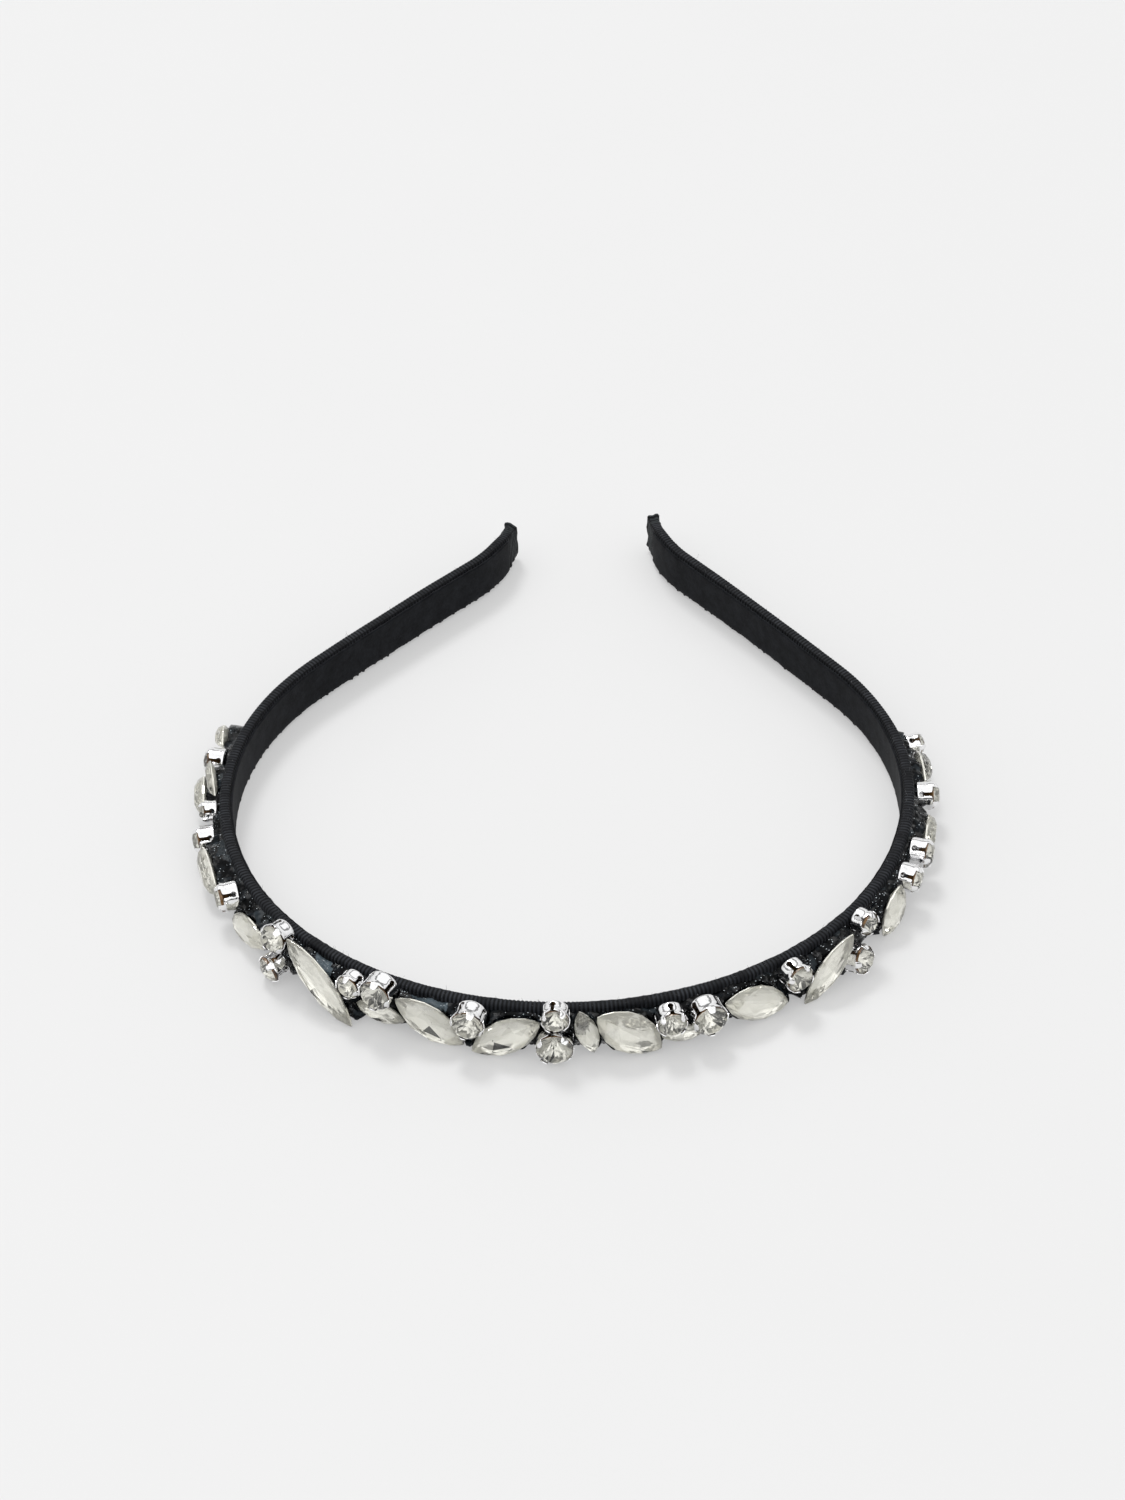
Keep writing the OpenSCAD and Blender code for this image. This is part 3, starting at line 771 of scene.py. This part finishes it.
def makeNavette(number):
    cut = navetteCut
    name = f"navette_{number:02d}"
    stone = stoneFrame(name)
    a, b = stone["length"] / 2, stone["width"] / 2
    low, top = stone["low"], stone["high"]
    height = top - low
    back, girdle = (low + share * height for share in cut["girdle"])
    form = bmesh.new()
    pointed, inner = cut["pointed"], cut["innerPointed"]
    tableLong, tableWide = cut["table"]
    backLong, backWide = cut["back"]
    midLong, midWide = cut["crownMid"]
    crown = girdle + cut["crownRise"] * (top - girdle)
    glass = ring(8, tableLong * a, tableWide * b, top, inner) \
        + ring(8, midLong * a, midWide * b, crown, inner, 0.5) + ring(16, a, b, girdle, pointed) \
        + ring(16, a, b, back, pointed) + ring(8, backLong * a, backWide * b, low, inner)
    hullPart(form, glass, 0, edge=cut["bevel"],
             paintedFacetShade=crownFacetShade(number, stone, [], cut["crownTones"]))
    inset, keel = cut["foilInset"], cut["keel"] * height
    ridge = cut["oddRidge"] if number % 2 else cut["evenRidge"]
    foil = ring(16, a - 2 * inset, b - inset, girdle - inset, pointed) \
        + ring(16, a - 2 * inset, b - inset, back + inset, pointed) \
        + ring(8, backLong * a - inset, backWide * b - inset, low + inset + keel, inner) \
        + [(x * a, y * b, low + inset) for x, y in ridge]
    dark, dim = cut["dark"].get(number, []), cut["dim"].get(number, 0)
    hullPart(form, foil, 1, openFront, paintedFacetShade=foilFacetShade(number, stone, cut["tones"], dark, dim))
    piece = placeStone(f"navetteStone{number:02d}", form, stone, [glassMaterial, foilMaterial])
    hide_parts(name)
    return stone


roundStones = [makeRound(number) for number in range(1, 21)]
navetteStones = [makeNavette(number) for number in range(1, 18)]
print("stage: stones made")

# turns are about each cup's own axis, in degrees: at 45 a tab faces up, and at 0 a slot; foot
# holds steps from the wall's foot and claws those over the stone's edge, as a distance out, a
# height and for claws a share of their width
cupShape = {
    "turns": [45, 40, 45, 45, 15, 10, 45, 40, 30, 10, 10, 0, 45, 20, 40, 30, 45, 35, 45, 25],
    "height": 0.56, "overStone": 0.15, "sheet": 0.22, "base": 0.35, "shoulder": (0.12, 0.32),
    "flare": 0.15, "flareFrom": 0.8, "flareReach": 0.7, "flareFoot": 0.3,
    "foot": [(-0.22, 0.0), (-0.06, 0.06), (0.0, 0.22)], "hole": 0.55, "holeUp": 0.95, "slot": 0.07,
    "claw": 0.12, "girdleTop": 0.46, "columns": 9, "edge": 0.035,
    "claws": [(0.30, 0.0, 1.0), (0.20, 0.22, 0.97), (0.05, 0.44, 0.92), (-0.12, 0.66, 0.84),
              (-0.24, 0.79, 0.70), (-0.31, 0.86, 0.42)]}


def cupRows(radius):
    # the outer side of one tab from the base to the claw's tip: radius, height and half angle
    wall, height = radius + cupShape["overStone"], 2 * radius * cupShape["height"]
    slot, hole, holeUp = 2 * radius * cupShape["slot"], cupShape["hole"], cupShape["holeUp"]
    quarter = pi / 4
    rows = [(wall * cupShape["base"], 0.0, quarter)]
    rows += [(wall + out, up, quarter) for out, up in cupShape["foot"]]
    rows.append((wall, holeUp - hole, quarter))
    for angle in range(-75, 90, 15):
        gapHalf = hole * cos(radians(angle))
        if angle < 0 or gapHalf > slot:
            up = holeUp + hole * sin(radians(angle))
            rows.append((wall, up, quarter - gapHalf / wall))
    below, above = cupShape["shoulder"]
    slotFoot, shoulder = rows[-1][1] + 0.1, height - below
    tabHalf = quarter - slot / wall
    for step in range(5):
        rows.append((wall, slotFoot + (shoulder - slotFoot) * step / 4, tabHalf))
    # the tab narrows along a quarter circle into its claw
    claw = 2 * radius * cupShape["claw"] / wall
    for step in (0.25, 0.5, 0.72, 0.88, 1.0):
        share = 1 - sqrt(1 - step * step)
        rows.append((wall, shoulder + above * step, tabHalf - (tabHalf - claw) * share))
    for index, (near, up, half) in enumerate(rows):
        share = float(smooth((up - height + cupShape["flareFrom"]) / cupShape["flareReach"]))
        flare = cupShape["flare"] * share * (up > cupShape["flareFoot"])
        rows[index] = (near + flare, up, half)
    top = height + cupShape["girdleTop"]
    return rows + [(radius + near, top + up, claw * share)
                   for near, up, share in cupShape["claws"]]


def thicken(form, depth):
    # turns an open sheet into a shell: an inner side is added and the edges are closed
    form.normal_update()
    outer, faces = form.verts[:], form.faces[:]
    rims = [edge.link_loops[0] for edge in form.edges if edge.is_boundary]
    inner = {vertex: form.verts.new(vertex.co - vertex.normal * depth) for vertex in outer}
    for face in faces:
        form.faces.new([inner[vertex] for vertex in reversed(face.verts)])
    for first, second in [(loop.vert, loop.link_loop_next.vert) for loop in rims]:
        form.faces.new((second, first, inner[first], inner[second]))


def makeCup(number, stone):
    # four tabs of thin sheet stand on one base, with slots and thread holes between them, and
    # end in claws that close over the stone
    name = f"cup_{number:02d}"
    radius = stone["length"] / 2
    solid = np.array([vertex.co for vertex in cadNodes[name].data.vertices]) / mm
    solid = solid - stone["centre"]
    stone["cupBase"] = (solid @ stone["axis"]).min()
    stone["cupRadius"] = max(np.abs(solid @ stone[side]).max() for side in ("along", "across"))
    level = Vector((0, 0, 1)).cross(Vector(stone["axis"])).normalized()
    start = atan2(level @ Vector(stone["across"]), level @ Vector(stone["along"])) \
        + radians(cupShape["turns"][number - 1])
    rows, columns = cupRows(radius), cupShape["columns"]
    form = bmesh.new()
    for tab in range(4):
        middle = start + pi / 4 + tab * pi / 2
        grid = []
        for near, up, half in rows:
            angles = [middle + half * (2 * column / (columns - 1) - 1)
                      for column in range(columns)]
            grid.append([form.verts.new((near * cos(angle), near * sin(angle),
                                         stone["cupBase"] + up)) for angle in angles])
        for low, high in zip(grid, grid[1:]):
            for column in range(columns - 1):
                form.faces.new((low[column], low[column + 1], high[column + 1], high[column]))
    bmesh.ops.remove_doubles(form, verts=form.verts, dist=0.01)
    base = [edge for edge in form.edges
            if edge.is_boundary and edge.verts[0].co.xy.length < radius * 0.5]
    bmesh.ops.contextual_create(form, geom=base)
    thicken(form, cupShape["sheet"])
    form.normal_update()
    sharp = [edge for edge in form.edges
             if len(edge.link_faces) == 2 and edge.calc_face_angle() > 1.1]
    bmesh.ops.bevel(form, geom=sharp, offset=cupShape["edge"], segments=2, profile=0.5,
                    affect="EDGES", clamp_overlap=True)
    piece = placeStone(f"clawCup{number:02d}", form, stone, [chromeMaterial])
    piece.data.shade_smooth()
    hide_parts(name)


for number, stone in enumerate(roundStones, 1):
    makeCup(number, stone)
print("stage: cups made")


# beds: place along the band, extra thickness low and high, half length
# lumps: place, height above the rim, reach, height over the strip
glueShape = {
    "thickness": 0.4, "thinnest": 0.15, "low": 0.7, "high": 8.3, "left": 117.0, "right": 120.0,
    "edgeWave": 0.45, "unevenness": 0.24, "fineUnevenness": 0.13, "step": 0.22, "rows": 38,
    "edgeRound": 0.8, "endRound": 1.2, "split": 5.3, "blend": 0.5, "bedShare": 0.45,
    "fillet": 0.75, "sunk": 0.12, "clearance": 0.03, "cupClimb": 0.35, "navetteClimb": 0.1,
    "climbReach": 0.3, "climbUneven": 0.5, "climbWave": 3.0, "besideSeat": 3, "capReach": 0.08,
    "leastUnder": 0.02, "navetteEdge": (1.8, 0.9), "endReach": 3.0,
    "beds": [
        (-112.6, 2.2, 2.2, 3.8), (-98.6, 2.2, 0.5, 5.0), (-78.2, 2.2, 2.2, 5.5),
        (-62.2, 0.9, 0.9, 4.0), (-52.2, 1.4, 0.5, 3.4), (-41.6, 1.7, 1.7, 5.0),
        (-20.6, 0.6, 0.6, 6.0), (-6.9, 0.6, 0.6, 5.0), (12.0, 0.9, 0.9, 8.0),
        (24.0, 0.6, 0.6, 4.5), (37.3, 0.5, 0.5, 5.0), (52.0, 1.5, 1.5, 5.0),
        (58.2, 1.2, 0.0, 3.0), (71.2, 0.9, 0.9, 4.0), (92.6, 1.3, 1.3, 4.2),
        (109.0, 0.9, 0.9, 4.0), (115.4, 0.8, 0.8, 3.0)],
    "lumps": [
        (-115.8, 6.2, 2.6, 2.2), (-106.0, 2.0, 1.6, 0.7), (-73.6, 6.2, 2.0, 1.0),
        (-33.5, 4.6, 1.8, 0.9), (-23.0, 6.6, 2.2, 0.8), (-9.0, 7.2, 1.5, 0.5),
        (5.0, 7.3, 1.2, 0.5), (19.0, 5.6, 1.4, 0.8), (32.0, 6.5, 1.6, 0.6),
        (47.8, 6.4, 1.8, 0.8), (66.5, 5.0, 2.0, 0.9), (97.0, 5.0, 1.8, 1.0)]}


def glueHeight(run, up):
    lower = np.full(run.shape, glueShape["thickness"])
    upper = lower.copy()
    for centre, extraLow, extraHigh, half in glueShape["beds"]:
        nearBed = np.cos(np.clip(np.abs(run - centre) / half, 0, 1) * pi / 2) ** 2
        share = glueShape["bedShare"] * nearBed
        lower += extraLow * share
        upper += extraHigh * share
    blend = glueShape["blend"]
    mixShare = smooth((up - glueShape["split"] + blend) / (2 * blend))
    height = lower * (1 - mixShare) + upper * mixShare
    height += glueShape["unevenness"] * wobble(run, up, 3.6, seed=34) \
        + glueShape["fineUnevenness"] * wobble(run, up, 1.5, seed=35)
    for centre, level, reach, rise in glueShape["lumps"]:
        gone = ((run - centre) ** 2 + (up - level) ** 2) / reach ** 2
        height += rise * np.clip(1 - gone, 0, 1) ** 0.8
    return np.maximum(height, glueShape["thinnest"])


def glueEdges(places):
    # the strip's lower and upper edge, which wander and close in at both ends
    toEnd = np.minimum(places + glueShape["left"] + 0.7, glueShape["right"] + 0.5 - places)
    end = np.sqrt(np.clip(toEnd / glueShape["endReach"], 0.02, 1))
    wave, middle = glueShape["edgeWave"], (glueShape["low"] + glueShape["high"]) / 2
    low = glueShape["low"] - 0.1 + wave * 0.6 * wobble(places, places * 0, 9, seed=31)
    high = glueShape["high"] + wave * wobble(places, places * 0, 7, seed=32) \
        + 0.15 * wobble(places, places * 0, 2.5, seed=33)
    return middle + (low - middle) * end, middle + (high - middle) * end


def seats():
    # each navette and each cup as a form that the glue rises to and stays clear of
    found = []
    for number, stone in enumerate(roundStones, 1):
        radius = stone["cupRadius"]
        found.append({"stone": stone, "base": stone["cupBase"], "rise": None, "long": radius,
                      "wide": radius, "share": 1.0, "climb": glueShape["cupClimb"],
                      "seed": number})
    for number, stone in enumerate(navetteStones, 1):
        rise = navetteCut["girdle"][0] * (stone["high"] - stone["low"])
        found.append({"stone": stone, "base": stone["low"], "rise": rise,
                      "long": stone["length"] / 2, "wide": stone["width"] / 2,
                      "share": navetteCut["back"][0],
                      "climb": rise + glueShape["navetteClimb"], "seed": 50 + number})
    return found


def outside(seat, x, y, share):
    # distance outside a seat's outline, below zero within it
    long, wide = seat["long"] * share, seat["wide"] * share
    if seat["rise"] is None:
        return np.hypot(x, y) - long
    belly, point = glueShape["navetteEdge"]
    edge = wide * np.clip(1 - (np.abs(x) / long) ** belly, 0, 1) ** point
    return np.maximum(np.abs(y) - edge, (np.abs(x) - long) * 0.8)


def seatGlue(height, places, foot):
    # raises the glue around each seat, then keeps it under what sits there
    heading = np.interp(places, lineSamples, lineHeading)
    outward = np.stack([np.sin(heading), -np.cos(heading), heading * 0], -1)
    shape, caps = glueShape, []
    for seat in seats():
        stone = seat["stone"]
        near = np.abs(places - stone["place"]) < seat["long"] + shape["besideSeat"]
        facing = (outward[near] @ stone["axis"])[:, None]
        away = foot[near] - stone["centre"]
        level = (seat["base"] - away @ stone["axis"]) / facing
        middleOut = np.median(level[level.shape[0] // 2])
        spot = away + outward[near][:, None, :] * middleOut
        x, y = spot @ stone["along"], spot @ stone["across"]
        base, girdle = outside(seat, x, y, seat["share"]), outside(seat, x, y, 1.0)
        uneven = 1 + shape["climbUneven"] * wobble(x, y, shape["climbWave"], seat["seed"])
        climb = seat["climb"] * uneven * smooth(girdle / shape["climbReach"])
        rise = np.exp(-(np.clip(girdle, 0, None) / shape["fillet"]) ** 2)
        level = level - shape["clearance"]
        wanted = level + climb
        height[near] = np.maximum(height[near], height[near] + (wanted - height[near]) * rise)
        overhang = 0
        if seat["rise"] is not None:
            overhang = seat["rise"] * np.clip(base / np.maximum(base - girdle, 0.01), 0, 1)
        under = girdle < shape["capReach"]
        caps.append((near, np.where(under, level + overhang / facing, np.inf)))
    for near, cap in caps:
        height[near] = np.minimum(height[near], np.maximum(cap, shape["leastUnder"]))


def makeGlueStrip():
    step = glueShape["step"] * 1
    places = np.arange(-glueShape["left"] - 0.6, glueShape["right"] + 0.4, step)
    rows, sunk = glueShape["rows"], glueShape["sunk"]
    run = np.broadcast_to(places[:, None], (len(places), rows)).copy()
    low, high = (edge[:, None] for edge in glueEdges(places))
    up = low + (high - low) * np.linspace(0, 1, rows)
    height = glueHeight(run, up)
    seatGlue(height, places, bandPoints(run, halfThick, up))
    edgeGap = np.minimum(up - low, high - up)
    endGap = np.minimum(run - places[0], places[-1] - run)
    rounding = rounded(edgeGap, glueShape["edgeRound"]) * rounded(endGap, glueShape["endRound"])
    points = bandPoints(run, halfThick - sunk + (height + sunk) * rounding, up)
    piece = meshObject("glueStrip", points.reshape(-1, 3), gridFaces(len(places), rows),
                       glueMaterial)
    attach(piece, "root")
    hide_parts("glue_strip")


makeGlueStrip()
print("stage: glue made")


threadShape = {
    "count": 380, "shortest": 0.3, "longest": 1.2, "mostlyShort": 2.5, "radius": 0.035,
    "taper": 0.5, "segments": 5, "onTop": 0.75, "sunk": 0.05, "inset": 0.4, "lean": 1.2,
    "bend": 1.4, "outLean": (-0.2, 1.0), "seed": 77}


def makeThreads():
    shape = threadShape
    draw = random.Random(shape["seed"])
    segments = shape["segments"]
    tube = gridFaces(segments + 1, 3, True)
    points, faces = [], []
    for _ in range(shape["count"]):
        start = draw.uniform(1 - leftLength, rightLength - 1)
        upOrDown = 1 if draw.random() < shape["onTop"] else -1
        outOrIn = 1 if draw.random() < 0.5 else -1
        up = halfTall + (halfTall * float(widthShare(start)) - shape["sunk"]) * upOrDown
        out = (halfThick - shape["inset"]) * outOrIn * draw.uniform(0.3, 1)
        length = shape["shortest"] \
            + (shape["longest"] - shape["shortest"]) * draw.random() ** shape["mostlyShort"]
        lean = draw.uniform(-shape["lean"], shape["lean"])
        bend = draw.uniform(-shape["bend"], shape["bend"])
        outLean = draw.uniform(*shape["outLean"]) * outOrIn
        faces += [[len(points) + corner for corner in face] for face in tube]
        for index in range(segments + 1):
            share = index / segments
            angle = lean + bend * share
            rise = max(up + length * share * cos(angle) * upOrDown, 0.05)
            spot = bandPoints(start + length * share * sin(angle),
                              out + outLean * length * share, rise)
            radius = shape["radius"] * (1 - shape["taper"] * share)
            for corner in range(3):
                turn = 2 * pi * corner / 3
                points.append((spot[0] + radius * cos(turn), spot[1] + radius * sin(turn),
                               max(spot[2] + radius * cos(turn + 1), 0.01)))
    piece = meshObject("looseThreads", points, faces, threadMaterial)
    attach(piece, "root")


makeThreads()
print("stage: threads made")


# the gap over the walls is dark, and so is the room behind the camera: the pairs hold where
# each fades in and out
stageLook = {
    "floor": 0.334, "floorHalf": 5000, "floorDrop": 0.02, "overhead": 1.14, "low": 0.78,
    "front": 0.50, "room": 0.03, "gap": 0.75, "gapFoot": (0.46, 0.50), "gapTop": (0.62, 0.58),
    "roomBack": (-0.80, -0.90), "roomTop": (0.42, 0.34), "roomFoot": (0.08, 0.14),
    "sunStrength": 1.40, "sunAngle": 16.0, "sunTilt": 34.0, "sunTurn": 203.0,
    "sockets": {"Roughness": 0.55, "Specular IOR Level": 0.2,
                "Emission Color": rgb(1.0, 1.0, 1.0), "Emission Strength": 0.37}}


def paintFloor(point, look):
    # fine grain; the sheet also glows a little, which keeps the shadows narrow
    pale, dim = look["floor"], look["floor"] * 0.99
    grain = point.noise(0.02, 2.0).span(0.3, 0.7)
    return {"Base Color": grain.mix(rgb(pale, pale, pale), rgb(dim, dim, dim))}


def makeFloor():
    half = stageLook["floorHalf"]
    corners = [(x * half, y * half, -stageLook["floorDrop"])
               for x, y in ((-1, -1), (1, -1), (1, 1), (-1, 1))]
    material = newMaterial("paleFloor", stageLook, paintFloor)
    floor = meshObject("paleFloor", corners, [(0, 1, 2, 3)], material, False)


def makeLight():
    look = stageLook
    world = bpy.data.worlds.new("studio")
    bpy.context.scene.world = world
    world.use_nodes = True
    _, toBack, up = Wire(world.node_tree).add("ShaderNodeTexCoord", output="Generated").axes()
    # light overhead and behind, and a darker room on the camera's side
    glow = up.span(0.05, 0.6, look["low"], look["overhead"])
    # a dark gap between the walls and the light overhead, which chrome and facets pick up
    glow = glow * (1 - up.span(*look["gapFoot"]) * up.span(*look["gapTop"]) * look["gap"])
    glow = glow + toBack.span(-0.1, -0.6, 0.0, look["front"]) * up.span(0.1, 0.3)
    room = toBack.span(*look["roomBack"]) * up.span(*look["roomTop"]) \
        * up.span(*look["roomFoot"])
    setSockets(world.node_tree.nodes["Background"], {
        "Color": rgb(1.0, 1.0, 1.0), "Strength": glow * (1 - room) + room * look["room"]})
    sun = bpy.data.lights.new("softKey", "SUN")
    sun.energy = look["sunStrength"]
    sun.angle = radians(look["sunAngle"])
    lamp = newObject("softKey", sun)
    lamp.rotation_euler = (radians(look["sunTilt"]), 0, radians(look["sunTurn"]))


# aim and distance are in millimetres, angles in degrees
cameraView = {
    "aim": (-1.6, 12.07, 0.0), "azimuth": 4.52, "elevation": 40.0, "distance": 855.0,
    "roll": -1.86, "lens": 105.84, "sensor": 36}


def makeCamera():
    azimuth, elevation, roll = (radians(cameraView[key])
                                for key in ("azimuth", "elevation", "roll"))
    back = Vector((sin(azimuth) * cos(elevation), -cos(azimuth) * cos(elevation), sin(elevation)))
    right = Vector((cos(azimuth), sin(azimuth), 0))
    upward = back.cross(right)
    sideways = right * cos(roll) + upward * sin(roll)
    upright = upward * cos(roll) - right * sin(roll)
    lens = bpy.data.cameras.new("photoCamera")
    lens.lens = cameraView["lens"]
    lens.sensor_width = cameraView["sensor"]
    lens.clip_start = 0.01
    camera = newObject("photoCamera", lens)
    turn = Matrix((sideways, upright, back)).transposed()
    spot = (Vector(cameraView["aim"]) + back * cameraView["distance"]) * mm
    camera.matrix_world = Matrix.Translation(spot) @ turn.to_4x4()
    bpy.context.scene.camera = camera


makeFloor()
makeLight()
makeCamera()
bpy.context.scene.view_settings.view_transform = "Standard"
print("stage: floor, light and camera set")
